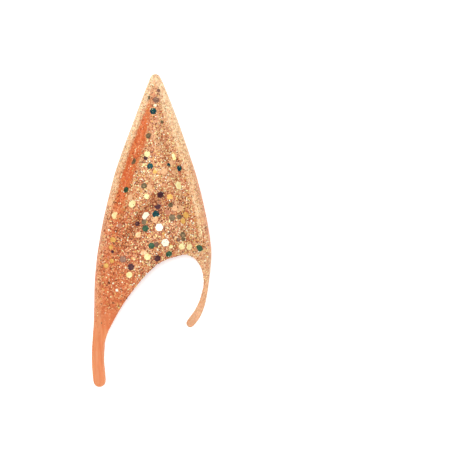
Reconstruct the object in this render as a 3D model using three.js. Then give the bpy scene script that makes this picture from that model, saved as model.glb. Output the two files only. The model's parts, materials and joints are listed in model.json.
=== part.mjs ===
// A moulded latex elf ear tip for a person's right ear, lying on its back, with foil flakes on its front.
// Lengths are in millimetres. +Z is up, away from the surface that the ear tip lies on. +Y runs from the
// mouth to the pointed tip, and +X runs from the rear of the ear towards the wearer's face. The origin is
// on that surface, below the middle of the ear tip.
import * as THREE from "three";
import { mergeVertices } from "three/addons/utils/BufferGeometryUtils.js";

// Overall size
const earLength = 125; // from the pointed tip to the end of the rear tail
const earWidth = 48; // across the widest place
const rimHeight = 12.2; // the highest place of the helix rim above the surface below

// Latex walls
const wall = 1.5;
const leastHollow = 1.2; // the walls merge where the hollow between them would be thinner than this
const solidTip = 14; // the pointed tip is filled this far down
const tailSolid = 27; // the end of the rear tail that is a solid strip
const hookSolid = 27; // the end of the front hook that is a solid strip
const backRise = 13; // how much higher the mouth is cut in the back wall than in the front one
const backInset = 2.4; // how far the back flap stays behind the front one beside each arm

// Relief of the front face
const rearRimRadius = 2.3; // from the outer edge to the crest of the helix rim, along the rear
const faceRimRadius = 3.4; // and along the side towards the face
const backRadius = 4.2; // from the outer edge to the flat of the back
const leastRadius = 0.3; // the walls' inner sides are rounded at least this much beside the outer edge
const edgeShare = 0.42; // height of the outermost edge, as a share of the rim's height there
const rearGrooveCentre = 5.3; // from the outer edge to the middle of the groove inside the rear rim
const rearGrooveReach = 3.2; // half that groove's width
const rearGrooveDepth = 2.4;
const legGrooveShare = 0.4; // share of that depth which is left beside the rear leg
const grooveEaseStart = 0.36; // where it starts to get shallower, as a share of earLength from the tip
const grooveEaseEnd = 0.5;
const faceGrooveCentre = 6.6; // the same for the shallower groove inside the face rim
const faceGrooveReach = 3.6;
const faceGrooveDepth = 1.7;
const bulgeRise = 1.3; // rise of the middle of the ear over the rim
const bulgeReach = 13; // from the outer edge to the full rise of the bulge
const ridgeRise = 1.6; // height of the antihelix ridge
const ridgeReach = 5.4; // its slope towards the tip
const ridgeDrop = 4.8; // its steeper slope towards the mouth
const fossaDepth = 1.5; // depth of the hollow under the ridge
const fossaReach = 6; // half that hollow's width
const reliefWidth = 22; // the relief has its full size where the ear is at least this wide
const reliefSide = 11; // and where the outer edge and the mouth are at least this far apart
const lipRadius = 1.3; // rounding of the front wall's cut edge
const sideBulge = 0.35; // how far the side of a solid arm swells past its top edge
const armDrop = 0.8; // how far its front rolls down beside the mouth, as a share of its height over the edge
const armBackShare = 0.4; // share of its depth below the edge that its back keeps beside the mouth

// Foil flakes
const flakeWidth = 3.1; // across the corners of a full-sized hexagon
const flakeThickness = 0.15;
const flakeGap = 0.25; // clearance between a flake and the latex below it

// Fineness of the mesh
const bodyRows = 38;
const tailRows = 30;
const hookRows = 24;
const mergeRows = 5; // rows over which an arm goes from hollow to solid
// How strongly the rows crowd towards the tip and the arms' ends, and the columns towards the outer edge
const bodyCrowding = 1.15;
const armCrowding = 1.35;
const edgeCrowding = 1.6;
const columns = {
  rear: { front: 20, back: 9, cavity: 10 },
  face: { front: 13, back: 7, cavity: 7 },
};

// Tables: across is a share of earWidth from the middle, down is a share of earLength from the pointed tip.
const rearEdge = [
  { across: 0.029, down: 0 },
  { across: 0.008, down: 0.0025 },
  { across: -0.008, down: 0.01 },
  { across: -0.028, down: 0.027 },
  { across: -0.085, down: 0.083 },
  { across: -0.16, down: 0.16 },
  { across: -0.235, down: 0.237 },
  { across: -0.302, down: 0.313 },
  { across: -0.354, down: 0.39 },
  { across: -0.4, down: 0.466 },
  { across: -0.436, down: 0.543 },
  { across: -0.46, down: 0.61 },
  { across: -0.474, down: 0.679 },
  { across: -0.479, down: 0.754 },
  { across: -0.484, down: 0.8 },
  { across: -0.494, down: 0.85 },
  { across: -0.5, down: 0.898 },
  { across: -0.498, down: 0.935 },
  { across: -0.492, down: 0.965 },
  { across: -0.487, down: 0.981 },
  { across: -0.479, down: 0.991 },
  { across: -0.461, down: 0.998 },
  { across: -0.437, down: 1 },
];
const faceEdge = [
  { across: 0.029, down: 0 },
  { across: 0.053, down: 0.0025 },
  { across: 0.072, down: 0.01 },
  { across: 0.094, down: 0.027 },
  { across: 0.155, down: 0.083 },
  { across: 0.231, down: 0.16 },
  { across: 0.3, down: 0.237 },
  { across: 0.366, down: 0.313 },
  { across: 0.42, down: 0.39 },
  { across: 0.463, down: 0.466 },
  { across: 0.491, down: 0.53 },
  { across: 0.5, down: 0.573 },
  { across: 0.493, down: 0.618 },
  { across: 0.479, down: 0.665 },
  { across: 0.463, down: 0.706 },
  { across: 0.442, down: 0.742 },
  { across: 0.407, down: 0.775 },
  { across: 0.366, down: 0.798 },
  { across: 0.327, down: 0.81 },
  { across: 0.3, down: 0.807 },
];
// The mouth's front edge: from its highest place to the end of the tail, and to the end of the hook.
const rearArch = [
  { across: 0.277, down: 0.577 },
  { across: 0.156, down: 0.589 },
  { across: 0.065, down: 0.605 },
  { across: -0.035, down: 0.639 },
  { across: -0.14, down: 0.687 },
  { across: -0.231, down: 0.735 },
  { across: -0.304, down: 0.783 },
  { across: -0.358, down: 0.825 },
  { across: -0.39, down: 0.866 },
  { across: -0.399, down: 0.911 },
  { across: -0.391, down: 0.95 },
  { across: -0.386, down: 0.979 },
  { across: -0.394, down: 0.991 },
  { across: -0.413, down: 0.998 },
  { across: -0.437, down: 1 },
];
const faceArch = [
  { across: 0.277, down: 0.577 },
  { across: 0.34, down: 0.584 },
  { across: 0.3875, down: 0.603 },
  { across: 0.419, down: 0.629 },
  { across: 0.43, down: 0.66 },
  { across: 0.421, down: 0.696 },
  { across: 0.396, down: 0.728 },
  { across: 0.354, down: 0.76 },
  { across: 0.308, down: 0.784 },
  { across: 0.29, down: 0.797 },
  { across: 0.3, down: 0.807 },
];
// The antihelix ridge, from the front rim to the rear leg.
const ridgeLine = [
  { across: 0.33, down: 0.39 },
  { across: 0.24, down: 0.362 },
  { across: 0.15, down: 0.353 },
  { across: 0.05, down: 0.366 },
  { across: -0.052, down: 0.398 },
  { across: -0.152, down: 0.443 },
  { across: -0.244, down: 0.5 },
  { across: -0.31, down: 0.565 },
  { across: -0.352, down: 0.635 },
];
// Height of the rim along the ear, as shares of rimHeight, on the rear side and on the face side.
const rimProfile = [
  { down: 0, rear: 0.2, face: 0.2 },
  { down: 0.05, rear: 0.33, face: 0.33 },
  { down: 0.12, rear: 0.49, face: 0.49 },
  { down: 0.2, rear: 0.64, face: 0.64 },
  { down: 0.28, rear: 0.76, face: 0.76 },
  { down: 0.36, rear: 0.87, face: 0.87 },
  { down: 0.44, rear: 0.95, face: 0.94 },
  { down: 0.5, rear: 0.99, face: 0.92 },
  { down: 0.55, rear: 1, face: 0.8 },
  { down: 0.6, rear: 0.95, face: 0.56 },
  { down: 0.64, rear: 0.87, face: 0.38 },
  { down: 0.69, rear: 0.74, face: 0.27 },
  { down: 0.76, rear: 0.52, face: 0.22 },
  { down: 0.83, rear: 0.33, face: 0.21 },
  { down: 0.89, rear: 0.245, face: 0.21 },
  { down: 1, rear: 0.2, face: 0.21 },
];
// The main foil flakes. Their size is a share of flakeWidth, and the kind is the colour that each one shows.
const flakes = [
  { across: 0.038, down: 0.085, size: 0.86, kind: "mauve" },
  { across: 0.018, down: 0.121, size: 0.93, kind: "teal" },
  { across: -0.02, down: 0.2, size: 0.79, kind: "slate" },
  { across: -0.03, down: 0.258, size: 0.86, kind: "cream" },
  { across: -0.139, down: 0.282, size: 0.93, kind: "slate" },
  { across: -0.006, down: 0.297, size: 0.86, kind: "teal" },
  { across: 0.19, down: 0.266, size: 1, kind: "cream" },
  { across: 0.237, down: 0.303, size: 0.8, kind: "teal" },
  { across: 0.11, down: 0.314, size: 0.86, kind: "blush" },
  { across: -0.054, down: 0.36, size: 0.86, kind: "slate" },
  { across: 0.222, down: 0.358, size: 1.14, kind: "cream" },
  { across: -0.199, down: 0.372, size: 0.86, kind: "green" },
  { across: 0.078, down: 0.385, size: 1, kind: "plum" },
  { across: 0.158, down: 0.394, size: 0.86, kind: "gold" },
  { across: -0.032, down: 0.393, size: 0.71, kind: "cream" },
  { across: -0.15, down: 0.417, size: 1.07, kind: "cream" },
  { across: -0.328, down: 0.412, size: 1, kind: "blush" },
  { across: 0.055, down: 0.423, size: 0.93, kind: "plum" },
  { across: 0.165, down: 0.42, size: 0.71, kind: "slate" },
  { across: -0.298, down: 0.454, size: 1, kind: "cream" },
  { across: -0.044, down: 0.454, size: 1.14, kind: "pearl" },
  { across: 0.043, down: 0.449, size: 1, kind: "teal" },
  { across: 0.175, down: 0.459, size: 0.86, kind: "slate" },
  { across: 0.283, down: 0.452, size: 0.93, kind: "gold" },
  { across: -0.114, down: 0.478, size: 0.71, kind: "plum" },
  { across: -0.042, down: 0.494, size: 0.93, kind: "green" },
  { across: 0.07, down: 0.49, size: 1.07, kind: "pearl" },
  { across: 0.26, down: 0.513, size: 0.8, kind: "slate" },
  { across: -0.311, down: 0.529, size: 0.71, kind: "gold" },
  { across: 0.005, down: 0.548, size: 0.86, kind: "green" },
  { across: 0.118, down: 0.538, size: 1.07, kind: "pearl" },
  { across: 0.254, down: 0.549, size: 0.93, kind: "cream" },
  { across: 0.311, down: 0.551, size: 0.93, kind: "cream" },
  { across: 0.403, down: 0.554, size: 1, kind: "green" },
  { across: -0.028, down: 0.583, size: 0.93, kind: "cream" },
  { across: 0.052, down: 0.587, size: 0.93, kind: "plum" },
  { across: -0.228, down: 0.591, size: 0.93, kind: "mauve" },
  { across: -0.164, down: 0.615, size: 0.93, kind: "plum" },
  { across: -0.177, down: 0.64, size: 0.86, kind: "cream" },
  { across: 0.146, down: 0.573, size: 0.93, kind: "green" },
];

const smooth = THREE.MathUtils.smoothstep;
const { lerp, clamp } = THREE.MathUtils;

const place = ({ across, down }) =>
  new THREE.Vector3(across * earWidth, (0.5 - down) * earLength, 0);
const downOf = (p) => 0.5 - p.y / earLength;

// A smooth line through a table's points, with an even sampling of it for measuring distances.
const samplesPerLine = 180;
function lineThrough(table) {
  const curve = new THREE.CatmullRomCurve3(table.map(place));
  curve.arcLengthDivisions = samplesPerLine * 2;
  return { curve, length: curve.getLength(), samples: curve.getSpacedPoints(samplesPerLine) };
}
const lines = {
  rearEdge: lineThrough(rearEdge),
  faceEdge: lineThrough(faceEdge),
  rearArch: lineThrough(rearArch),
  faceArch: lineThrough(faceArch),
  ridge: lineThrough(ridgeLine),
};

// The nearest place of a line to p: its distance, how far along it lies, and on which side p is.
function nearest(line, p) {
  let best = { distance: Infinity, along: 0, side: 1 };
  line.samples.slice(1).forEach((end, i) => {
    const start = line.samples[i];
    const dx = end.x - start.x;
    const dy = end.y - start.y;
    const share = clamp(((p.x - start.x) * dx + (p.y - start.y) * dy) / (dx * dx + dy * dy), 0, 1);
    const offX = p.x - start.x - share * dx;
    const offY = p.y - start.y - share * dy;
    const distance = Math.hypot(offX, offY);
    if (distance < best.distance) {
      best = {
        distance,
        along: (i + share) / samplesPerLine,
        side: Math.sign(dx * offY - dy * offX) || 1,
      };
    }
  });
  return best;
}

// Distances of p from the outer edge and from the mouth's edge, and fit, the share by which the relief
// shrinks where the ear is too narrow for it.
function reach(p) {
  const rear = nearest(lines.rearEdge, p).distance;
  const face = nearest(lines.faceEdge, p).distance;
  const mouth = Math.min(nearest(lines.rearArch, p).distance, nearest(lines.faceArch, p).distance);
  const edge = Math.min(rear, face);
  const fit = Math.min(1, (rear + face) / reliefWidth, (edge + mouth) / reliefSide);
  return { edge, mouth, fit, faceward: smooth((rear - face) / reliefSide, -0.5, 0.5) };
}

const profile = new THREE.CubicInterpolant(
  rimProfile.map((row) => row.down),
  rimProfile.flatMap((row) => [row.rear, row.face]),
  2,
);
function rimAt(p) {
  const [rear, face] = profile.evaluate(clamp(downOf(p), 0, 1));
  return rimHeight * lerp(rear, face, smooth(p.x / earWidth, -0.08, 0.3));
}
const edgeHeight = (p) => edgeShare * rimAt(p);

// A quarter of a circle: rises from 0 at the edge to 1 at the full radius.
const roll = (share) => Math.sqrt(1 - (1 - clamp(share, 0, 1)) ** 2);
// A soft hump: 1 in the middle and 0 at one reach from it.
const hump = (share) => (Math.abs(share) < 1 ? (1 + Math.cos(Math.PI * share)) / 2 : 0);

// The antihelix ridge and the hollow between it and the mouth.
function ridgeAt(p) {
  const { distance, along, side } = nearest(lines.ridge, p);
  const ends = smooth(along, 0, 0.22) * (1 - smooth(along, 0.72, 1));
  if (side < 0) return ends * ridgeRise * hump(distance / ridgeReach);
  const rise = ridgeRise * hump(distance / ridgeDrop);
  return ends * (rise - fossaDepth * hump(distance / fossaReach - 1));
}

// Height of the front face with its relief, before the outer edge and the lip are rounded.
function platform(p, { edge, fit, faceward }) {
  const inward = edge / fit;
  const centre = lerp(rearGrooveCentre, faceGrooveCentre, faceward);
  const halfWidth = lerp(rearGrooveReach, faceGrooveReach, faceward);
  const eased = smooth(downOf(p), grooveEaseStart, grooveEaseEnd);
  const rearDepth = rearGrooveDepth * lerp(1, legGrooveShare, eased);
  const groove = lerp(rearDepth, faceGrooveDepth, faceward) * hump((inward - centre) / halfWidth);
  const bulge = bulgeRise * smooth(inward, centre, bulgeReach);
  return rimAt(p) + fit * (bulge - groove + ridgeAt(p));
}

// Height of the front face's outer skin (inset 0) or of its inner skin (inset by the wall). On a solid
// arm the skin also rolls down to the arm's side.
function frontHeight(p, inset = 0, solid = 0) {
  const at = reach(p);
  const top = platform(p, at) - inset;
  const edge = edgeHeight(p);
  const radius = lerp(rearRimRadius, faceRimRadius, at.faceward) * at.fit;
  const rolled = edge + (top - edge) * roll((at.edge - inset) / Math.max(radius - inset, leastRadius));
  if (inset) return rolled;
  const lip = rolled - lerp(wall / 2, (rolled - edge) * armDrop, solid);
  return lip + (rolled - lip) * roll(at.mouth / lipRadius);
}

// Height of the back's outer skin (inset 0) or of its inner skin.
function backHeight(p, inset = 0, solid = 0) {
  const at = reach(p);
  const edge = edgeHeight(p);
  const radius = backRadius * at.fit;
  const rolled = roll((at.edge - inset) / Math.max(radius - inset, leastRadius));
  const side = inset ? 1 : lerp(1, lerp(armBackShare, 1, roll(at.mouth / radius)), solid);
  return edge - (edge - inset) * rolled * side;
}

// One half of the ear: the rear half ends in the tail, the face half in the hook. Its rows run from the
// outer edge to the centre line, and below the mouth's highest place to the mouth's edge.
const apex = place(rearArch[0]);
const pointedTip = place(rearEdge[0]);
const branch = { rear: 0.42, face: 0.5 }; // where the row through the mouth's highest place meets the edge
function halfOf(name, edgeLine, archLine, armRows, solidLength) {
  const last = bodyRows + armRows;
  const beside = place({ across: name === "rear" ? -0.5 : 0.5, down: branch[name] });
  const branchAt = nearest(edgeLine, beside).along;
  const bodyShare = (row) => (row / bodyRows) ** bodyCrowding;
  const armShare = (row) => 1 - (1 - (row - bodyRows) / armRows) ** armCrowding;
  const edgeShareAt = (row) =>
    row <= bodyRows ? branchAt * bodyShare(row) : lerp(branchAt, 1, armShare(row));
  const outer = (row) => edgeLine.curve.getPointAt(edgeShareAt(row));
  const inward = (row) => {
    const tangent = edgeLine.curve.getTangentAt(edgeShareAt(row));
    return new THREE.Vector3(-tangent.y, tangent.x, 0).multiplyScalar(name === "rear" ? 1 : -1);
  };
  const toEnd = (row) => edgeLine.length * (1 - edgeShareAt(row));
  const frontInner = (row) =>
    row <= bodyRows
      ? pointedTip.clone().lerp(apex, bodyShare(row))
      : archLine.curve.getPointAt(armShare(row));
  const allRows = Array.from({ length: last + 1 }, (_, row) => row);
  const deep = (p) => rimAt(p) >= 2 * wall + leastHollow;
  const firstHollow = allRows.find(
    (row) => bodyShare(row) * pointedTip.distanceTo(apex) >= solidTip && deep(frontInner(row)),
  );
  const lastHollow = allRows.findLast((row) => toEnd(row) >= solidLength && deep(frontInner(row)));
  // The back wall is cut higher at the mouth, and a little behind the front one beside the arm.
  const backInner = (row) => {
    const front = frontInner(row);
    if (row <= bodyRows) {
      return front.add(new THREE.Vector3(0, backRise * bodyShare(row), 0));
    }
    const gone = Math.min(1, (row - bodyRows) / (lastHollow - bodyRows));
    const behind = backInset * Math.min(gone, 1 - solidAt(row));
    const toEdge = outer(row).sub(front).normalize();
    return front.addScaledVector(toEdge, behind).add(new THREE.Vector3(0, backRise * hump(gone), 0));
  };
  const solidAt = (row) => smooth(row, lastHollow, lastHollow + mergeRows);
  return {
    name, last, lastHollow, firstHollow, outer, inward, frontInner, backInner, solidAt,
    isEnd: (row) => row === 0 || row === last,
  };
}
const halves = [
  halfOf("rear", lines.rearEdge, lines.rearArch, tailRows, tailSolid),
  halfOf("face", lines.faceEdge, lines.faceArch, hookRows, hookSolid),
];

// One row of a skin, from the outer edge inwards. Columns crowd towards the rolled edge.
function skinRow(half, row, count, { inset, back }) {
  const start = half.outer(row).addScaledVector(half.inward(row), inset);
  const end = back ? half.backInner(row) : half.frontInner(row);
  return Array.from({ length: count + 1 }, (_, column) => {
    const p = column === count ? end.clone() : start.clone().lerp(end, (column / count) ** edgeCrowding);
    const height = back ? backHeight : frontHeight;
    const onEdge = column === 0 || half.isEnd(row);
    p.z = onEdge ? edgeHeight(half.outer(row)) : height(p, inset, half.solidAt(row));
    return p;
  });
}

const rowsBetween = (first, last) => Array.from({ length: last - first + 1 }, (_, i) => first + i);

// Adds a grid of points to a list of triangles. Each cell is split along its more level diagonal, which
// keeps the ridges smooth. Collapsed triangles are left out.
function addGrid(triangles, grid, flip) {
  const add = (a, b, c) => {
    if (Math.min(a.distanceTo(b), b.distanceTo(c), c.distanceTo(a)) < 1e-5) return;
    triangles.push(...(flip ? [a, c, b] : [a, b, c]));
  };
  for (let i = 0; i + 1 < grid.length; i++) {
    for (let j = 0; j + 1 < grid[i].length; j++) {
      const [a, b] = [grid[i][j], grid[i + 1][j]];
      const [c, d] = [grid[i + 1][j + 1], grid[i][j + 1]];
      const level = Math.abs(a.z - c.z) <= Math.abs(b.z - d.z);
      add(a, b, level ? c : d);
      add(level ? a : b, c, d);
    }
  }
}

// The skins and edges of one half of the shell.
function addHalf(triangles, half) {
  const mirrored = half.name === "face";
  const count = columns[half.name];
  const skin = (first, last, number, options) =>
    rowsBetween(first, last).map((row) => skinRow(half, row, number, options));
  const frontSkin = skin(0, half.last, count.front, { inset: 0, back: false });
  const backSkin = skin(0, half.last, count.back, { inset: 0, back: true });
  const cavityFront = skin(half.firstHollow, half.lastHollow, count.cavity, { inset: wall, back: false });
  const cavityBack = skin(half.firstHollow, half.lastHollow, count.cavity, { inset: wall, back: true });
  addGrid(triangles, frontSkin, mirrored);
  addGrid(triangles, backSkin, !mirrored);
  addGrid(triangles, cavityFront, !mirrored);
  addGrid(triangles, cavityBack, mirrored);

  // The hollow's two ends: near the pointed tip, and where the arm becomes solid.
  addGrid(triangles, [cavityFront[0], cavityBack[0]], mirrored);
  addGrid(triangles, [cavityFront.at(-1), cavityBack.at(-1)], !mirrored);

  // The cut edges of the two walls beside the mouth.
  const lips = rowsBetween(bodyRows, half.lastHollow).map((row) => {
    const hollowRow = row - half.firstHollow;
    return {
      front: [frontSkin[row].at(-1), cavityFront[hollowRow].at(-1)],
      back: [cavityBack[hollowRow].at(-1), backSkin[row].at(-1)],
    };
  });
  addGrid(triangles, lips.map((lip) => lip.front), mirrored);
  addGrid(triangles, lips.map((lip) => lip.back), mirrored);

  // The side of the solid arm, from its front face to its back.
  const sides = rowsBetween(half.lastHollow, half.last).map((row) => {
    const top = frontSkin[row].at(-1);
    const bottom = backSkin[row].at(-1);
    if (row === half.lastHollow) return [top, ...lips.at(-1).front.slice(1), lips.at(-1).back[0], bottom];
    const out = half.frontInner(row).sub(half.outer(row)).normalize();
    const swell = half.isEnd(row) ? 0 : sideBulge * half.solidAt(row);
    const middle = [1 / 3, 2 / 3].map((share) => top.clone().lerp(bottom, share).addScaledVector(out, swell));
    return [top, ...middle, bottom];
  });
  addGrid(triangles, sides, mirrored);
}

function shellGeometry() {
  const triangles = [];
  halves.forEach((half) => addHalf(triangles, half));
  const geometry = mergeVertices(new THREE.BufferGeometry().setFromPoints(triangles), 1e-5);
  geometry.computeVertexNormals();
  return geometry;
}

const latex = new THREE.MeshStandardMaterial({ color: 0xe9a077, roughness: 0.5, metalness: 0 });
const foilFinish = (color) => new THREE.MeshStandardMaterial({ color, roughness: 0.3, metalness: 0.5 });
const foil = Object.fromEntries(
  Object.entries({
    cream: 0xf6e7a6,
    pearl: 0xfaf6dc,
    gold: 0xd9a94e,
    blush: 0xf0ad8e,
    mauve: 0x8f7470,
    slate: 0x7d7a67,
    plum: 0x4a2b3e,
    teal: 0x0e4f55,
    green: 0x1f5a45,
  }).map(([kind, color]) => [kind, foilFinish(color)]),
);

// Height of what lies on the front, at a place of the surface below the ear tip.
const caster = new THREE.Raycaster();
function heightOn(meshes, x, y) {
  caster.set(new THREE.Vector3(x, y, earLength), new THREE.Vector3(0, 0, -1));
  const [hit] = caster.intersectObjects(meshes);
  return hit ? hit.point.z : 0;
}

// A hexagonal flake along the front face, clear by flakeGap of the shell and of the flakes laid before.
const goldenAngle = Math.PI * (3 - Math.sqrt(5));
// The flake is tried for clearance on rings of its radius, in so many directions.
const seatRings = [0.35, 0.7, 1];
const seatDirections = 12;
function flakeMesh({ across, down, size, kind }, index, laid) {
  const radius = (size * flakeWidth) / 2;
  const centre = place({ across, down });
  const [shell] = laid;
  const height = (dx, dy) => heightOn([shell], centre.x + dx, centre.y + dy);
  const slope = (dx, dy) => (height(dx, dy) - height(-dx, -dy)) / (2 * radius);
  const normal = new THREE.Vector3(-slope(radius, 0), -slope(0, radius), 1).normalize();
  centre.z = height(0, 0);

  const mesh = new THREE.Mesh(new THREE.CylinderGeometry(radius, radius, flakeThickness, 6), foil[kind]);
  const up = new THREE.Vector3(0, 1, 0);
  mesh.quaternion
    .setFromUnitVectors(up, normal)
    .multiply(new THREE.Quaternion().setFromAxisAngle(up, index * goldenAngle));
  const seats = seatRings.flatMap((share) =>
    Array.from({ length: seatDirections }, (_, i) =>
      new THREE.Vector3(radius * share, 0, 0).applyAxisAngle(up, (i * 2 * Math.PI) / seatDirections),
    ),
  );
  const stands = seats.map((offset) => {
    const point = offset.applyQuaternion(mesh.quaternion).add(centre);
    return (heightOn(laid, point.x, point.y) - point.z) * normal.z;
  });
  const lift = Math.max(0, ...stands) + flakeGap + flakeThickness / 2;
  mesh.position.copy(centre).addScaledVector(normal, lift);
  mesh.updateMatrixWorld();
  mesh.name = "flake_" + String(index + 1).padStart(2, "0");
  return mesh;
}

const elfEar = new THREE.Group();
const shell = new THREE.Mesh(shellGeometry(), latex);
shell.name = "ear_shell";
elfEar.add(shell);
flakes.forEach((flake, index) => elfEar.add(flakeMesh(flake, index, elfEar.children)));

export default elfEar;
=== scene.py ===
"""A moulded latex elf ear tip with foil flakes and fine glitter, lying on its back on a pale surface."""
import json
import math

import bmesh
import bpy
import numpy as np
from mathutils import Matrix, Vector
from mathutils.bvhtree import BVHTree

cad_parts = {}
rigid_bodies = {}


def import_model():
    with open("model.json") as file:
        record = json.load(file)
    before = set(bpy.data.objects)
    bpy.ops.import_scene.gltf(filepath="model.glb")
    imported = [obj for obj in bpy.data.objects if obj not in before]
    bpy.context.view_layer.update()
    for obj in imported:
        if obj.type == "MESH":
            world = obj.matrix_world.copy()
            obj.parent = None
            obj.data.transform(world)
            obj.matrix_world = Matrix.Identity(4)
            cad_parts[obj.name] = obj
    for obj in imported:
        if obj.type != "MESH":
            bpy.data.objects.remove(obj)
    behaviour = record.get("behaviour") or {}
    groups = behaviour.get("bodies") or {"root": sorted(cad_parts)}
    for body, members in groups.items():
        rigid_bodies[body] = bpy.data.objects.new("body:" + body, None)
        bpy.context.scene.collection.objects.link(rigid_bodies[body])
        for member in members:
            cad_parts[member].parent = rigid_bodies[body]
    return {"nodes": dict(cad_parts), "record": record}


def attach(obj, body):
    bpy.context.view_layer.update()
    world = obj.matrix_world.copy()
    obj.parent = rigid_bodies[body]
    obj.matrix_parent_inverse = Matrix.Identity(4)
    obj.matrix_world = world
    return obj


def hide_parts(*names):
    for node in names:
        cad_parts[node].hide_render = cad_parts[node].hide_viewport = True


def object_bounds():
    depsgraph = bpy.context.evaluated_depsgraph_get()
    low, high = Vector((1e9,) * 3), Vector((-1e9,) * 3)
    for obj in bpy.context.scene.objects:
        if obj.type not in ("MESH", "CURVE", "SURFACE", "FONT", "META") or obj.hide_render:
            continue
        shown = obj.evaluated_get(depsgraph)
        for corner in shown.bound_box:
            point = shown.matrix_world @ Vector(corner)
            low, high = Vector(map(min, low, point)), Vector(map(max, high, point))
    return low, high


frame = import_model()
cad_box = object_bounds()

MM = 0.001
LOW, HIGH = cad_box
LENGTH = HIGH.y - LOW.y
WIDTH = HIGH.x - LOW.x
rng = np.random.default_rng(11)

# The latex shell
VOXEL = 0.45 * MM
SMOOTHING_STEPS = 26
SMOOTHING_CAP = 0.12 * MM  # how far a facet's edge may move as it is smoothed away
SHARPENING_STEPS = 8
SHARPNESS = 0.9  # how much of what smoothing takes off the thin ends is put back
TIP_LENGTH = 9 * MM  # the part of the pointed tip that is drawn out again to its full length
# The relief steers painted light below: grooves get painted shade, raised crests a painted highlight.
RELIEF_REACH = 4.5 * MM  # the width over which a place counts as a groove or as a rim
RELIEF_FULL = 0.5 * MM  # how far a full groove lies below its surroundings
BAND_START = 2.7 * MM  # the orange band inside the rear rim, from the outer edge; partly the latex's colour, partly painted shade in the groove
BAND_BLUR = 0.9 * MM
# How far the band reaches in from the outer edge, in millimetres, by share of the length from the pointed tip
BAND_DOWN = (0.08, 0.15, 0.21, 0.34, 0.41, 0.5)
BAND_END = (5.6, 7.8, 9.2, 9.2, 8.0, 7.2)
CREST_DELAY = 5 * MM  # over which the groove's far side turns from orange to the crests' painted highlight
# The pale zones along the edges are partly the latex's paler tone and partly a painted highlight on the
# raised rims.
REAR_RIM = 2.9 * MM  # width of the pale zone along the rear edge
FACE_RIM = 4.0 * MM  # and along the face edge
TIP_RIM_SHARE = 0.7  # their share of that width at the pointed tip
MOUTH_DOWN = 0.585  # the mouth's highest place, as a share of the length from the pointed tip
MOUTH_SHADE = 2.6 * MM  # width of the painted shade along the leg's inner edge, where it turns down to the mouth
STREAK_STRETCH = 0.1  # the tail's streaks are this much coarser along the ear tip
EDGE_LEAN = 18  # degrees between the outer edges and the ear tip's length
# The antihelix ridge, as shares of the width from the middle and of the length from the pointed tip
RIDGE_ACROSS = (-0.35, -0.31, -0.24, -0.15, -0.05, 0.05, 0.15, 0.24, 0.33)
RIDGE_DOWN = (0.63, 0.565, 0.5, 0.443, 0.398, 0.366, 0.353, 0.362, 0.39)

# Where the colour zones come in or fade, as shares of the length from the pointed tip
BAND_COMES = (0.05, 0.12)
BAND_WEAKENS = (0.37, 0.48)
BAND_STOPS = (0.72, 0.8)
RIMS_WIDEN = (0.02, 0.12)
REAR_RIM_WEAKENS = (0.3, 0.5)
FACE_RIM_WEAKENS = (0.2, 0.4)
CREST_STOPS = (0.66, 0.72)
REAR_CREST_STOPS = (0.34, 0.44)
INNER_CREST_STOPS = (0.44, 0.52)
LEG_COMES = (0.3, 0.44)
LEG_FILLS = (0.5, 0.62)
LEG_SHADE_STOPS = (0.58, 0.66)
MOUTH_SHADE_STOPS = (0.74, 0.84)
HOOK_COMES = (0.53, 0.62)
TOP_STOPS = (0.1, 0.3)
FACE_GROOVE_STOPS = (0.32, 0.38)
# As shares of the width from the middle, rising towards the face
RIDGE_ENDS = (0.26, 0.34)
REAR_CREST_ENDS = (-0.16, 0.04)
CREST_COMES = (-0.1, 0.1)
LEG_ENDS = (-0.3, 0.02)
LEG_LEAN = 0.25  # how far the leg's inner limit moves over as it gets farther below the ridge
SHADE_WEAKENS = (0.15, 0.26)
SHADE_STOPS = (0.29, 0.35)
HOOK_SIDE = (0.2, 0.28)
FACE_GROOVE_COMES = (0.08, 0.18)
# And as shares of the length below the ridge
BESIDE_RIDGE = (0.02, 0.05)
SHADE_COMES = (0.01, 0.04)
SHADE_HALVES = (0.06, 0.13)
SHADE_HALVES_AGAIN = (0.16, 0.24)

# How strongly each zone's colour covers what lies under it; the groove and ridge shades are painted shade,
# the band is partly painted shade and the rims are partly a painted highlight
GROOVE_SHADE_SHARE = 0.3
SHADE_SHARE = 0.75
RIM_SHARE = 0.85
BAND_SHARE = 0.9
GRAIN_SHARE = 0.5
RIM_GRAIN_SHARE = 0.15  # what the rims have on top of that

# The glitter
GLITTER_COUNT = 8500
GLITTER_SIZES = (0.16 * MM, 0.4 * MM)
GLITTER_TILT = 16  # degrees
GRAIN_HOOK_END = 0.9  # where the grain ends on the hook, as a share of the length from the pointed tip
GRAIN_BEHIND = 0.3  # share of the grain that is left on the steep sides and on the back
GRAIN_FACING = (-0.1, 0.6)  # the upward share of the surface's normal over which it gets full
FLAKE_THICKNESS = 0.12 * MM
FLAKE_SEAT = 0.07 * MM
SMALL_FLAKE_SEAT = 0.04 * MM

# The picture is PICTURE wide at the ear tip, which lies left of its middle
PICTURE = 182.6 * MM
CAMERA_PLACE = Vector((31.3 * MM, 0.2 * MM, 1.1))
SENSOR = 36.0


def linear(red, green, blue):
    """A linear colour from the 0 to 255 values that a picture shows."""
    def channel(value):
        share = value / 255
        return share / 12.92 if share <= 0.04045 else ((share + 0.055) / 1.055) ** 2.4
    return (channel(red), channel(green), channel(blue), 1.0)


def smoothstep(low, high, value):
    share = np.clip((value - low) / (high - low), 0, 1)
    return share * share * (3 - 2 * share)


def link(thing):
    bpy.context.scene.collection.objects.link(thing)
    return thing


def finish_piece(thing, material):
    thing.data.materials.clear()
    thing.data.materials.append(material)
    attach(thing, "root")
    return thing


# Node helpers

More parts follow.
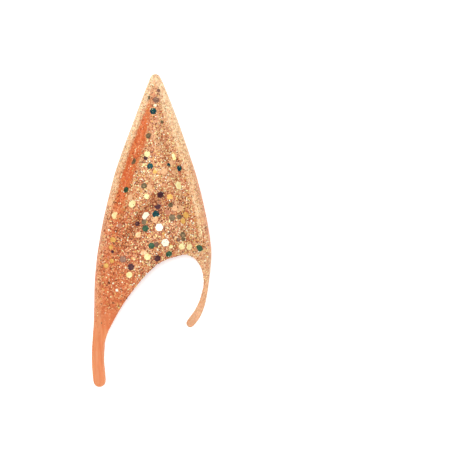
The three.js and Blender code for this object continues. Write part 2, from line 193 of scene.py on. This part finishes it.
class Nodes:
    """The node tree of a new material, with a short way to add and link nodes."""

    def __init__(self, name):
        self.material = bpy.data.materials.new(name)
        self.material.use_nodes = True
        self.tree = self.material.node_tree
        self.shader = self.tree.nodes["Principled BSDF"]

    def add(self, kind, values=(), **settings):
        node = self.tree.nodes.new(kind)
        for name, value in settings.items():
            setattr(node, name, value)
        for name, value in dict(values).items():
            self.put(node.inputs[name], value)
        return node

    def put(self, socket, value):
        if isinstance(value, bpy.types.NodeSocket):
            self.tree.links.new(value, socket)
        else:
            socket.default_value = value

    def set(self, **values):
        for name, value in values.items():
            self.put(self.shader.inputs[name.replace("_", " ")], value)

    def place(self):
        return self.add("ShaderNodeTexCoord").outputs["Object"]

    def noise(self, size, detail=3.0, roughness=0.55):
        node = self.add("ShaderNodeTexNoise", {"Vector": self.place(), "Scale": 1 / size, "Detail": detail,
                                               "Roughness": roughness})
        return node.outputs["Fac"]

    def cells(self, size):
        return self.add("ShaderNodeTexVoronoi", {"Vector": self.place(), "Scale": 1 / size})

    def ramp(self, factor, stops):
        node = self.add("ShaderNodeValToRGB", {"Fac": factor})
        elements = node.color_ramp.elements
        while len(elements) < len(stops):
            elements.new(1.0)
        for element, (position, color) in zip(elements, stops):
            element.position = position
            element.color = color if isinstance(color, tuple) else (color, color, color, 1.0)
        return node.outputs["Color"]

    def mix(self, factor, first, second):
        node = self.add("ShaderNodeMix", data_type="RGBA")
        for index, value in ((0, factor), (6, first), (7, second)):
            self.put(node.inputs[index], value)
        return node.outputs[2]

    def math(self, operation, first, second=0.0):
        node = self.add("ShaderNodeMath", operation=operation)
        self.put(node.inputs[0], first)
        self.put(node.inputs[1], second)
        return node.outputs[0]

    def attribute(self, name):
        return self.add("ShaderNodeAttribute", attribute_name=name).outputs["Fac"]

    def bump(self, height, distance, strength=1.0, normal=None):
        node = self.add("ShaderNodeBump", {"Height": height, "Distance": distance, "Strength": strength})
        if normal is not None:
            self.put(node.inputs["Normal"], normal)
        return node.outputs["Normal"]


# The latex shell

def spread(values, edges, count, steps):
    """Moves values halfway to their neighbours' mean along the mesh, as many times as steps says."""
    values = values.reshape(count, -1).copy()
    first, second = edges.T
    neighbours = np.bincount(edges.ravel(), minlength=count)[:, None]
    for _ in range(steps):
        mean = np.stack([
            np.bincount(first, column[second], count) + np.bincount(second, column[first], count)
            for column in values.T
        ], axis=1) / neighbours
        values += 0.5 * (mean - values)
    return values


def fine_mesh(node):
    """The CAD shell as an even fine mesh whose facets are smoothed away."""
    mesh = frame["nodes"][node].data.copy()
    cleaner = bmesh.new()
    cleaner.from_mesh(mesh)
    bmesh.ops.remove_doubles(cleaner, verts=cleaner.verts, dist=0.001 * MM)
    cleaner.to_mesh(mesh)
    cleaner.free()
    thing = link(bpy.data.objects.new("latex_ear", mesh))
    remesh = thing.modifiers.new("remesh", "REMESH")
    remesh.mode = "VOXEL"
    remesh.voxel_size = VOXEL
    graph = bpy.context.evaluated_depsgraph_get()
    fine = bpy.data.meshes.new_from_object(thing.evaluated_get(graph))
    thing.modifiers.clear()
    thing.data = fine
    bpy.data.meshes.remove(mesh)

    count = len(fine.vertices)
    points = np.empty(count * 3)
    fine.vertices.foreach_get("co", points)
    points = points.reshape(count, 3)
    edges = np.empty(len(fine.edges) * 2, int)
    fine.edges.foreach_get("vertices", edges)
    edges = edges.reshape(-1, 2)
    step = spread(points, edges, count, SMOOTHING_STEPS) - points
    size = np.linalg.norm(step, axis=1, keepdims=True)
    points += step * np.minimum(1, SMOOTHING_CAP / np.maximum(size, 1e-9))
    points = spread(points, edges, count, 2)
    points += SHARPNESS * (points - spread(points, edges, count, SHARPENING_STEPS))
    lost = HIGH.y - points[:, 1].max()
    points[:, 1] += lost * smoothstep(HIGH.y - TIP_LENGTH, HIGH.y - lost, points[:, 1])
    fine.vertices.foreach_set("co", points.ravel())
    fine.shade_smooth()
    return thing, points, edges


def edge_beside(points, extreme, chosen=slice(None)):
    """For each point, the lowest or highest x, as extreme says, of the chosen points at that place along the
    length."""
    steps = 250
    index = np.clip(((points[:, 1] - LOW.y) / LENGTH * steps).astype(int), 0, steps - 1)
    edge = np.full(steps, np.inf if extreme is np.minimum else -np.inf)
    extreme.at(edge, index[chosen], points[chosen, 0])
    return edge[index]


def add_values(mesh, name, values):
    attribute = mesh.attributes.new(name, "FLOAT", "POINT")
    attribute.data.foreach_set("value", np.ascontiguousarray(values, dtype=np.float32))


def relief_of(points, edges):
    """How deep each place lies below its surroundings: 1 in a groove, -1 on a rim."""
    steps = int((RELIEF_REACH / VOXEL) ** 2)
    around = spread(points[:, 2], edges, len(points), steps)[:, 0]
    return np.clip((around - points[:, 2]) / RELIEF_FULL, -1.5, 1.5)


def fading(stretch, value, by=1.0):
    """1 before the stretch, and less by this much after it."""
    return 1 - by * smoothstep(*stretch, value)


def zones_of(points, relief):
    """Strengths of the latex's colour zones: the orange band in the groove inside the rear rim, partly the
    latex's colour and partly painted shade; the rims, partly a paler tone and partly a painted highlight; the
    crests, a painted highlight; the orange rear leg; the brown painted shade under the antihelix ridge and
    along the leg's inner edge; the paler hook; and the top, where the rims are the palest."""
    rear = edge_beside(points, np.minimum)
    face = edge_beside(points, np.maximum)
    down = (HIGH.y - points[:, 1]) / LENGTH
    across = (points[:, 0] - (LOW.x + HIGH.x) / 2) / WIDTH
    lean = math.cos(math.radians(EDGE_LEAN))
    from_rear = (points[:, 0] - rear) * lean
    from_face = (face - points[:, 0]) * lean
    band_end = np.interp(down, BAND_DOWN, BAND_END) * MM
    band = smoothstep(BAND_START, BAND_START + BAND_BLUR, from_rear) * \
        (1 - smoothstep(band_end - 3 * BAND_BLUR, band_end, from_rear)) * \
        smoothstep(*BAND_COMES, down) * fading(BAND_WEAKENS, down, by=0.75) * fading(BAND_STOPS, down)
    taper = TIP_RIM_SHARE + (1 - TIP_RIM_SHARE) * smoothstep(*RIMS_WIDEN, down)
    rear_rim = (1 - smoothstep(REAR_RIM - BAND_BLUR, REAR_RIM + BAND_BLUR, from_rear / taper)) * \
        fading(REAR_RIM_WEAKENS, down, by=0.75)
    face_rim = (1 - smoothstep(FACE_RIM - BAND_BLUR, FACE_RIM + BAND_BLUR, from_face / taper)) * \
        fading(FACE_RIM_WEAKENS, down, by=0.9)
    below_ridge = down - np.interp(across, RIDGE_ACROSS, RIDGE_DOWN)
    on_ridge = fading(BESIDE_RIDGE, np.abs(below_ridge)) * fading(RIDGE_ENDS, across)
    # The crests: a painted highlight where the surface stands above its surroundings.
    crest_highlight = smoothstep(0.3, 0.9, -relief) * fading(CREST_STOPS, down) * (1 - 0.8 * on_ridge) * \
        (1 - smoothstep(*REAR_CREST_STOPS, down) * fading(REAR_CREST_ENDS, across)) * \
        (0.15 + 0.85 * smoothstep(band_end, band_end + CREST_DELAY, from_rear)) * \
        (0.35 + 0.65 * smoothstep(*CREST_COMES, across)) * \
        (1 - smoothstep(*INNER_CREST_STOPS, down) * (1 - smoothstep(2.4 * MM, 4 * MM, from_face)))
    leg = smoothstep(*LEG_COMES, down) * fading(LEG_ENDS, across - LEG_LEAN * below_ridge) * \
        np.maximum(smoothstep(0.5 * BAND_BLUR, 3 * BAND_BLUR, from_rear), smoothstep(*LEG_FILLS, down))
    # Painted shade in the hollow under the antihelix ridge.
    shade = smoothstep(*SHADE_COMES, below_ridge) * fading(SHADE_HALVES, below_ridge, by=0.5) * \
        fading(SHADE_HALVES_AGAIN, below_ridge, by=0.5) * \
        fading(SHADE_WEAKENS, across, by=0.6) * fading(SHADE_STOPS, across) * \
        (1 - smoothstep(0.3, 0.8, leg) * smoothstep(*LEG_SHADE_STOPS, down))
    # Painted shade along the leg's inner edge, where it turns down to the mouth.
    in_leg = (across < 0.2) & (down > MOUTH_DOWN)
    from_mouth = edge_beside(points, np.maximum, in_leg) - points[:, 0]
    mouth_edge_shade = in_leg * (1 - smoothstep(0.3 * MM, MOUTH_SHADE, from_mouth)) * \
        fading(MOUTH_SHADE_STOPS, down)
    shade = np.maximum(shade, 0.6 * mouth_edge_shade)
    hook = smoothstep(*HOOK_SIDE, across) * smoothstep(*HOOK_COMES, down)
    top = fading(TOP_STOPS, down)
    face_groove = smoothstep(*FACE_GROOVE_COMES, across) * fading(FACE_GROOVE_STOPS, down)
    # Less painted groove shade in the shallow groove inside the face rim.
    relief = np.where(relief > 0, relief * (1 - 0.7 * face_groove), relief)
    return {"relief": relief, "band": band,
            "pale_and_highlight": np.maximum.reduce([rear_rim, face_rim, crest_highlight, 0.5 * hook]),
            "leg": leg, "shade": shade, "hook": hook, "top": top}


def glitter_cover(points, hook_end=0.72):
    """Share of the glitter's full density: 1 on the body, falling to 0 down the tail and the hook."""
    down = (HIGH.y - points[:, 1]) / LENGTH
    on_hook = points[:, 0] > 0.2 * WIDTH
    tail = 1 - smoothstep(0.68, 0.83, down)
    hook = 1 - smoothstep(0.56, hook_end, down)
    return np.where(on_hook, hook, tail)


def latex():
    nodes = Nodes("latex")
    relief, band, rim, leg, shade, hook, cover, top = (
        nodes.attribute(name) for name in ("relief", "band", "pale_and_highlight", "leg", "shade", "hook", "cover", "top"))
    mottle = nodes.noise(5 * MM)
    streaks = nodes.noise(1.4 * MM, detail=4.0)
    fleshy = nodes.ramp(mottle, [(0.38, linear(186, 96, 54)), (0.62, linear(216, 138, 96))])
    salmon = nodes.ramp(mottle, [(0.35, linear(212, 134, 96)), (0.65, linear(234, 164, 124))])
    fair = nodes.ramp(mottle, [(0.3, linear(212, 152, 114)), (0.7, linear(226, 170, 134))])
    amber = nodes.ramp(mottle, [(0.3, linear(196, 94, 46)), (0.7, linear(210, 110, 60))])
    # orange: the band's colour, partly the latex's own and partly painted shade in the groove.
    orange = nodes.ramp(streaks, [(0.3, linear(206, 98, 48)), (0.7, linear(222, 122, 68))])
    # brown is painted shade, in grooves and under the antihelix ridge; the orange after it is the same
    # painted shade on the rear leg.
    brown = nodes.ramp(streaks, [(0.3, linear(152, 78, 40)), (0.7, linear(180, 98, 56))])
    leg_shade_orange = nodes.ramp(streaks, [(0.3, linear(178, 84, 38)), (0.7, linear(206, 108, 56))])
    # cream and ivory: the rims' paler tone, partly a painted highlight on the raised rims.
    cream = nodes.ramp(mottle, [(0.3, linear(207, 155, 107)), (0.7, linear(220, 173, 123))])
    ivory = nodes.ramp(mottle, [(0.3, linear(230, 201, 160)), (0.7, linear(237, 212, 173))])
    along = nodes.add("ShaderNodeMapping", {"Vector": nodes.place(), "Scale": (1.0, STREAK_STRETCH, 1.0)})
    fibres = nodes.add("ShaderNodeTexNoise", {"Vector": along.outputs[0], "Scale": 1 / (1.3 * MM),
                                               "Detail": 2.0}).outputs["Fac"]
    streaked = nodes.ramp(fibres, [(0.35, linear(217, 122, 70)), (0.65, linear(237, 158, 108))])
    # Painted shade in grooves: the deeper a place lies below its surroundings, the browner it gets.
    groove_shade = nodes.ramp(relief, [(0.2, 0.0), (0.9, 1.0)])
    off_leg = nodes.math("SUBTRACT", 1.0, leg)
    leg_share = nodes.math("MULTIPLY", leg, nodes.ramp(cover, [(0.0, 0.35), (1.0, 0.9)]))

    color = nodes.mix(hook, nodes.mix(cover, streaked, nodes.mix(top, fleshy, salmon)), fair)
    color = nodes.mix(leg_share, color, amber)
    # The painted groove shade, left off the rear leg.
    groove_shade_share = nodes.math("MULTIPLY", nodes.math("MULTIPLY", groove_shade, GROOVE_SHADE_SHARE), off_leg)
    color = nodes.mix(groove_shade_share, color, brown)
    # Painted shade under the antihelix ridge and along the leg's inner edge.
    color = nodes.mix(nodes.math("MULTIPLY", shade, SHADE_SHARE), color, nodes.mix(leg, brown, leg_shade_orange))
    # The rims: their paler tone and a painted highlight.
    color = nodes.mix(nodes.math("MULTIPLY", rim, RIM_SHARE), color, nodes.mix(top, cream, ivory))
    # The orange band: partly the latex's colour, partly painted shade in the groove.
    color = nodes.mix(nodes.math("MULTIPLY", band, BAND_SHARE), color, orange)

    specks = nodes.cells(0.55 * MM)
    dark_grain = nodes.ramp(specks.outputs["Color"], [
        (0.15, linear(98, 52, 34)), (0.35, linear(160, 86, 56)), (0.5, linear(206, 130, 90)),
        (0.65, linear(232, 176, 122)), (0.85, linear(244, 210, 156)),
    ])
    pale_grain = nodes.ramp(specks.outputs["Color"], [
        (0.12, linear(132, 96, 62)), (0.26, linear(204, 136, 94)), (0.45, linear(234, 182, 138)),
        (0.6, linear(246, 210, 160)), (0.8, linear(252, 236, 196)),
    ])
    ember_grain = nodes.ramp(specks.outputs["Color"], [
        (0.2, linear(168, 74, 38)), (0.5, linear(216, 110, 58)), (0.8, linear(244, 158, 96)),
    ])
    leg_grain = nodes.ramp(specks.outputs["Color"], [
        (0.2, linear(124, 54, 30)), (0.4, linear(188, 94, 50)), (0.6, linear(222, 132, 80)),
        (0.8, linear(246, 192, 136)),
    ])
    grain = nodes.mix(rim, nodes.mix(leg, dark_grain, leg_grain), pale_grain)
    grain = nodes.mix(band, grain, ember_grain)
    share = nodes.math("ADD", GRAIN_SHARE, nodes.math("MULTIPLY", rim, RIM_GRAIN_SHARE))
    share = nodes.math("MULTIPLY", cover, share)
    patches = nodes.ramp(nodes.noise(3.2 * MM), [(0.36, 0.62), (0.64, 1.0)])
    share = nodes.math("MULTIPLY", share, patches)
    color = nodes.mix(share, color, grain)

    grain_bump = nodes.bump(specks.outputs["Distance"], 0.06 * MM, 0.35)
    skin = nodes.bump(nodes.noise(1.6 * MM), 0.12 * MM, 0.4, grain_bump)
    nodes.set(Base_Color=color, Roughness=0.55, Specular_IOR_Level=0.35, Normal=skin, Subsurface_Weight=0.22,
              Subsurface_Scale=2.2 * MM)
    nodes.shader.inputs["Subsurface Radius"].default_value = (1.0, 0.4, 0.2)
    return nodes.material


# Foil

FOIL = {
    "cream": (linear(232, 210, 136), linear(248, 240, 186)),
    "pearl": (linear(238, 234, 200), linear(250, 250, 232)),
    "gold": (linear(204, 148, 66), linear(236, 190, 110)),
    "blush": (linear(222, 162, 118), linear(240, 196, 148)),
    "rose": (linear(178, 112, 84), linear(204, 140, 108)),
    "mauve": (linear(112, 78, 64), linear(146, 108, 88)),
    "slate": (linear(86, 74, 52), linear(134, 114, 84)),
    "plum": (linear(60, 30, 38), linear(98, 62, 62)),
    "teal": (linear(0, 38, 48), linear(14, 82, 80)),
    "green": (linear(14, 58, 42), linear(72, 106, 78)),
    "rust": (linear(160, 70, 34), linear(206, 108, 62)),
    "brown": (linear(84, 40, 22), linear(138, 76, 44)),
}
FOIL_METAL = 0.15


def foil(kind, grain):
    """Glossy foil, whose colour drifts over each flake and from one to the next."""
    dark, light = FOIL[kind]
    nodes = Nodes("foil_" + kind)
    tint = nodes.noise(grain, detail=4.0, roughness=0.7)
    color = nodes.ramp(tint, [(0.35, dark), (0.65, light)])
    wrinkles = nodes.bump(nodes.noise(grain / 3), 0.02 * MM, 0.4)
    nodes.set(Base_Color=color, Metallic=FOIL_METAL, Roughness=0.42, Specular_IOR_Level=0.14, Normal=wrinkles)
    return nodes.material


def seat(tree, x, y):
    """Place, normal and face number of the upper surface at x and y; the place is None beside it."""
    return tree.ray_cast(Vector((x, y, HIGH.z + 10 * MM)), Vector((0, 0, -1)))[:3]


def hexagon_plate(name, place, normal, radius, turn, seat_height=FLAKE_SEAT):
    """A foil plate with six sides and a rounded rim, lying flat in the latex at place."""
    turned = normal.to_track_quat("Z", "Y").to_matrix() @ Matrix.Rotation(turn, 3, "Z")
    half = FLAKE_THICKNESS / 2
    rings = [(0.93, half), (0.985, half * 0.7), (1.0, 0.0), (0.985, -half * 0.7), (0.93, -half)]
    vertices = [
        place + normal * seat_height
        + turned @ Vector((share * radius * math.cos(corner * math.pi / 3),
                           share * radius * math.sin(corner * math.pi / 3), height))
        for share, height in rings
        for corner in range(6)
    ]
    faces = [tuple(range(6)), tuple(reversed(range(24, 30)))]
    for ring in range(4):
        for corner in range(6):
            following = (corner + 1) % 6
            faces.append((ring * 6 + corner, (ring + 1) * 6 + corner,
                          (ring + 1) * 6 + following, ring * 6 + following))
    mesh = bpy.data.meshes.new(name)
    mesh.from_pydata(vertices, [], faces)
    return link(bpy.data.objects.new(name, mesh))


def cad_flakes(tree, foils):
    """The main flakes, each in the place, size and turn of its CAD node."""
    slots = {part["node"]: part["material_slot"] for part in frame["record"]["subparts"]}
    for node in sorted(name for name in frame["nodes"] if name.startswith("flake_")):
        mesh = frame["nodes"][node].data
        corners = np.array([vertex.co for vertex in mesh.vertices])
        centre = (corners.min(0) + corners.max(0)) / 2
        arms = corners - centre
        radius = np.linalg.norm(arms, axis=1).max()
        farthest = arms[np.linalg.norm(arms[:, :2], axis=1).argmax()]
        place, normal, _ = seat(tree, centre[0], centre[1])
        turned = normal.to_track_quat("Z", "Y").to_matrix().transposed() @ Vector(farthest)
        turn = math.atan2(turned.y, turned.x)
        plate = hexagon_plate("foil_" + node, place, normal, radius, turn)
        kind = slots[node].removeprefix("foil_")
        finish_piece(plate, foils[kind])
        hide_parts(node)


# Smaller flakes: across and down are shares of the ear tip's width and length, size is in millimetres.
SMALL_FLAKES = [
    {"across": 0.059, "down": 0.054, "size": 1.6, "kind": "mauve"},
    {"across": -0.021, "down": 0.077, "size": 1.6, "kind": "slate"},
    # The next pearl flake stands for a silvery glint between two flakes: its pale colour is a painted
    # highlight.
    {"across": 0.033, "down": 0.102, "size": 1.2, "kind": "pearl"},
    {"across": 0.088, "down": 0.155, "size": 1.5, "kind": "slate"},
    {"across": -0.044, "down": 0.27, "size": 2.0, "kind": "plum"},
    {"across": -0.059, "down": 0.292, "size": 1.3, "kind": "cream"},
    {"across": 0.168, "down": 0.285, "size": 2.4, "kind": "blush"},
    {"across": 0.146, "down": 0.292, "size": 1.7, "kind": "teal"},
    {"across": 0.188, "down": 0.316, "size": 2.0, "kind": "blush"},
    {"across": 0.034, "down": 0.314, "size": 1.9, "kind": "gold"},
    {"across": -0.01, "down": 0.362, "size": 2.3, "kind": "blush"},
    {"across": -0.17, "down": 0.395, "size": 2.6, "kind": "blush"},
    {"across": 0.198, "down": 0.43, "size": 2.3, "kind": "blush"},
    {"across": 0.248, "down": 0.43, "size": 2.6, "kind": "blush"},
    {"across": 0.134, "down": 0.443, "size": 2.4, "kind": "rose"},
    {"across": 0.234, "down": 0.457, "size": 2.2, "kind": "slate"},
    {"across": 0.181, "down": 0.46, "size": 2.3, "kind": "slate"},
    {"across": 0.032, "down": 0.465, "size": 3.1, "kind": "blush"},
    {"across": -0.054, "down": 0.473, "size": 2.4, "kind": "slate"},
    {"across": 0.265, "down": 0.47, "size": 2.4, "kind": "gold"},
    {"across": -0.254, "down": 0.485, "size": 2.2, "kind": "rose"},
    {"across": 0.268, "down": 0.513, "size": 1.3, "kind": "pearl"},
    {"across": -0.106, "down": 0.514, "size": 2.3, "kind": "blush"},
    {"across": 0.267, "down": 0.527, "size": 1.9, "kind": "slate"},
    {"across": 0.227, "down": 0.529, "size": 1.8, "kind": "mauve"},
    {"across": -0.304, "down": 0.53, "size": 2.0, "kind": "gold"},
    {"across": 0.044, "down": 0.544, "size": 2.5, "kind": "mauve"},
    {"across": 0.167, "down": 0.551, "size": 1.6, "kind": "cream"},
    {"across": -0.329, "down": 0.553, "size": 1.9, "kind": "gold"},
    {"across": -0.315, "down": 0.567, "size": 1.4, "kind": "plum"},
    {"across": -0.059, "down": 0.57, "size": 2.3, "kind": "blush"},
    {"across": -0.321, "down": 0.596, "size": 1.9, "kind": "gold"},
    {"across": -0.368, "down": 0.611, "size": 2.2, "kind": "gold"},
    {"across": -0.348, "down": 0.666, "size": 1.2, "kind": "brown"},
    {"across": -0.281, "down": 0.689, "size": 1.3, "kind": "pearl"},
]


def small_flakes(tree, foils):
    """Joins the plates of each kind into one piece."""
    kinds = sorted({flake["kind"] for flake in SMALL_FLAKES})
    for kind in kinds:
        plates = []
        for flake in SMALL_FLAKES:
            if flake["kind"] != kind:
                continue
            x = (LOW.x + HIGH.x) / 2 + flake["across"] * WIDTH
            place, normal, _ = seat(tree, x, HIGH.y - flake["down"] * LENGTH)
            plates.append(hexagon_plate("small_flakes_" + kind, place, normal, flake["size"] / 2 * MM,
                                        rng.uniform(0, math.pi), SMALL_FLAKE_SEAT))
        with bpy.context.temp_override(active_object=plates[0], selected_editable_objects=plates):
            bpy.ops.object.join()
        plates[0].name = "small_flakes_" + kind
        finish_piece(plates[0], foils[kind])


def with_plates(points, polygons):
    """A search tree of the latex's faces, followed by those of every flake."""
    corners = [Vector(point) for point in points]
    faces = list(polygons)
    for thing in bpy.context.scene.objects:
        if thing.name.startswith(("foil_flake_", "small_flakes_")):
            first = len(corners)
            corners.extend(vertex.co for vertex in thing.data.vertices)
            faces.extend(tuple(first + index for index in face.vertices) for face in thing.data.polygons)
    return BVHTree.FromPolygons(corners, faces)


# Fine glitter

GLITTER_MIX = [("cream", 0.22), ("pearl", 0.07), ("gold", 0.12), ("blush", 0.3), ("rust", 0.1),
               ("brown", 0.16), ("slate", 0.03)]
# How many times as often each kind lies in the brown painted shade and on the rear leg
DULL_PLACES = {"cream": 0.3, "pearl": 0.3, "gold": 0.7, "blush": 0.6, "rust": 3.2, "brown": 3.6, "slate": 1.2}
# And on the pale rims, whose paleness is partly a painted highlight
PALE_PLACES = {"cream": 1.3, "pearl": 0.6, "gold": 0.8, "blush": 1.3, "rust": 1.8, "brown": 0.7, "slate": 0.0}
# And between the rims near the pointed tip
TOP_PLACES = {"cream": 0.7, "pearl": 0.4, "gold": 0.9, "blush": 1.3, "rust": 1.6, "brown": 1.3, "slate": 0.7}
SHOWN_ON_FLAKES = 0.14  # share of the glitter's density on top of the flakes
SIZE_ON_FLAKES = 0.55
BAND_THINNING = 0.85  # share of the glitter that the orange band lacks
PALE_THINNING = 0.45
PALE_SHRINKING = 0.35  # how much smaller the crystals are on the pale rims
STRAY_DENSITY = 0.004  # the least density anywhere
STEEPEST = 0.12  # the least upward share of the normal of a place with glitter
CRYSTAL_HALF_HEIGHT = 0.16  # as a share of a crystal's radius


def fine_glitter(tree, latex_faces, values_at, foils):
    """Thousands of small six-sided crystals, scattered over the front and tilted at random. The tree's faces
    beyond latex_faces are the flakes'."""
    kinds = [kind for kind, _ in GLITTER_MIX]
    vertices = {kind: [] for kind in kinds}
    placed = 0
    while placed < GLITTER_COUNT:
        x = rng.uniform(LOW.x, HIGH.x)
        y = rng.uniform(LOW.y, HIGH.y)
        keep, kind_draw, size_draw, turn, tilt, tilt_way = rng.random(6)
        place, normal, face = seat(tree, x, y)
        if place is None:
            continue
        on_flake = face >= latex_faces
        cover = glitter_cover(np.array([[x, y, place.z]]))[0]
        zone = values_at(place)
        down = (HIGH.y - y) / LENGTH
        sparse = zone["leg"] * (0.3 + 0.4 * smoothstep(0.55, 0.68, down))
        density = cover * (1 - BAND_THINNING * zone["band"]) * (1 - PALE_THINNING * zone["pale_and_highlight"]) * \
            (1 - sparse) + STRAY_DENSITY
        if on_flake:
            density *= SHOWN_ON_FLAKES
        if keep > density or normal.z < STEEPEST:
            continue
        # Darker crystals in the painted shade and on the rear leg.
        painted_shade_and_leg = max(zone["shade"], zone["leg"] * (0.8 - 0.6 * smoothstep(0.6, 0.7, down)))
        top = zone["top"] * (1 - zone["pale_and_highlight"])
        weights = np.array([
            share * (1 + painted_shade_and_leg * (DULL_PLACES[kind] - 1)) * (1 + top * (TOP_PLACES[kind] - 1))
            * (1 + zone["pale_and_highlight"] * (PALE_PLACES[kind] - 1))
            for kind, share in GLITTER_MIX
        ])
        kind = kinds[int(np.searchsorted(np.cumsum(weights), kind_draw * weights.sum()))]
        radius = GLITTER_SIZES[0] + (GLITTER_SIZES[1] - GLITTER_SIZES[0]) * size_draw ** 2
        radius *= SIZE_ON_FLAKES if on_flake else 1 - PALE_SHRINKING * zone["pale_and_highlight"]
        lean = Matrix.Rotation(math.radians(GLITTER_TILT) * tilt, 3,
                               Vector((math.cos(math.tau * tilt_way), math.sin(math.tau * tilt_way), 0)))
        turned = normal.to_track_quat("Z", "Y").to_matrix() @ lean @ Matrix.Rotation(turn * math.pi, 3, "Z")
        ring = [(math.cos(corner * math.pi / 3), math.sin(corner * math.pi / 3), 0.0) for corner in range(6)]
        shape = [*ring, (0, 0, CRYSTAL_HALF_HEIGHT), (0, 0, -CRYSTAL_HALF_HEIGHT)]
        vertices[kind].extend(place + turned @ (Vector(corner) * radius) for corner in shape)
        placed += 1
    sides = [(corner, (corner + 1) % 6, 6) for corner in range(6)] + \
            [((corner + 1) % 6, corner, 7) for corner in range(6)]
    for kind, points in vertices.items():
        name = "fine_glitter_" + kind
        mesh = bpy.data.meshes.new(name)
        firsts = range(0, len(points), 8)
        faces = [tuple(first + index for index in side) for first in firsts for side in sides]
        mesh.from_pydata(points, [], faces)
        piece = link(bpy.data.objects.new(name, mesh))
        finish_piece(piece, foils[kind])


# The surface below, the light and the camera

def stage():
    mesh = bpy.data.meshes.new("surface")
    reach = 3.0
    mesh.from_pydata([(-reach, -reach, 0), (reach, -reach, 0), (reach, reach, 0), (-reach, reach, 0)], [],
                     [(0, 1, 2, 3)])
    floor = link(bpy.data.objects.new("surface", mesh))
    floor.location.z = min(0.0, LOW.z) - 0.05 * MM
    nodes = Nodes("surface")
    nodes.set(Base_Color=(0.93, 0.93, 0.93, 1.0), Roughness=0.9, Emission_Color=(1, 1, 1, 1),
              Emission_Strength=0.4)
    mesh.materials.append(nodes.material)


def area_light(name, place, size, power):
    data = bpy.data.lights.new(name, "AREA")
    data.shape = "DISK"
    data.size = size
    data.energy = power
    lamp = link(bpy.data.objects.new(name, data))
    lamp.location = place
    lamp.rotation_mode = "QUATERNION"
    lamp.rotation_quaternion = Vector(place).to_track_quat("Z", "Y")


def lights():
    world = bpy.data.worlds.new("studio")
    bpy.context.scene.world = world
    world.use_nodes = True
    background = world.node_tree.nodes["Background"]
    background.inputs["Color"].default_value = (1, 1, 1, 1)
    background.inputs["Strength"].default_value = 0.68
    area_light("key", (-0.08, 0.16, 1.25), 0.5, 9.5)


def camera():
    data = bpy.data.cameras.new("camera")
    data.sensor_width = SENSOR
    data.lens = SENSOR * (CAMERA_PLACE.z - HIGH.z / 2) / PICTURE
    eye = link(bpy.data.objects.new("camera", data))
    eye.location = CAMERA_PLACE
    bpy.context.scene.camera = eye


def main():
    camera()
    lights()
    stage()
    shell, points, edges = fine_mesh("ear_shell")
    relief = relief_of(points, edges)
    zones = zones_of(points, relief)
    for name, values in zones.items():
        add_values(shell.data, name, values)
    facing = np.empty(len(points) * 3)
    shell.data.vertex_normals.foreach_get("vector", facing)
    upward = smoothstep(*GRAIN_FACING, facing.reshape(-1, 3)[:, 2])
    grain = GRAIN_BEHIND + (1 - GRAIN_BEHIND) * upward
    add_values(shell.data, "cover", glitter_cover(points, GRAIN_HOOK_END) * grain)
    finish_piece(shell, latex())
    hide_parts("ear_shell")
    polygons = [tuple(face.vertices) for face in shell.data.polygons]
    tree = BVHTree.FromPolygons([Vector(point) for point in points], polygons)

    def values_at(place):
        _, _, face, _ = tree.find_nearest(place)
        corner = polygons[face][0]
        return {name: values[corner] for name, values in zones.items()}

    plates = {kind: foil(kind, 1.2 * MM) for kind in FOIL}
    cad_flakes(tree, plates)
    small_flakes(tree, plates)
    surface = with_plates(points, polygons)
    fine_glitter(surface, len(polygons), values_at, plates)
    bpy.context.scene.view_settings.view_transform = "Standard"


main()
